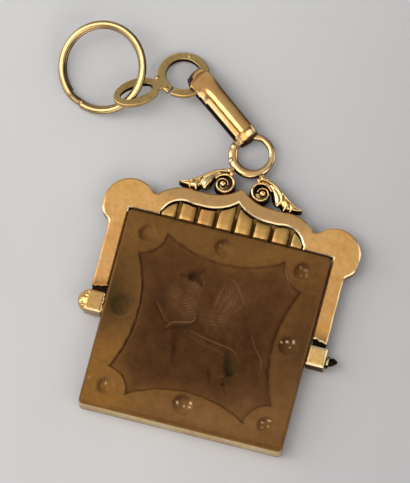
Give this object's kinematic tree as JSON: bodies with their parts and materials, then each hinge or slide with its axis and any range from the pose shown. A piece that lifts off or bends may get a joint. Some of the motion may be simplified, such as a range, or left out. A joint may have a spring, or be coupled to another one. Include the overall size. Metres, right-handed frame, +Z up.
{
  "type": "swivel seal fob",
  "caption": "Engraved square stone on a swivel in a gold yoke frame with scrolls and bail, hung from a band link, a figure-eight link and a split ring.",
  "frame": {"origin": "centre of the whole part's box in plan, at the height of the table it lies on", "axes": "+X along the swivel pins to the screw's head, +Y from the stone up the pendant to the split ring, +Z up from the table, out of the engraved face"},
  "size_m": [0.0432, 0.0479, 0.0048],
  "materials": {
    "gold": "worn satin gold",
    "pale_gold": "worn polished gold",
    "agate": "polished, slightly translucent"
  },
  "bodies": {
    "frame": {"frame": "gold", "screw_pin": "pale_gold", "band_link": "pale_gold", "eight_link": "gold", "split_ring": "pale_gold"},
    "stone": {"stone": "agate"}
  },
  "joints": [
    {"name": "stone_swivel", "type": "hinge", "parent": "frame", "child": "stone", "pos_m": [0.00474, -0.01115, 0.0015], "axis": [1, 0, 0], "continuous": true}
  ]
}
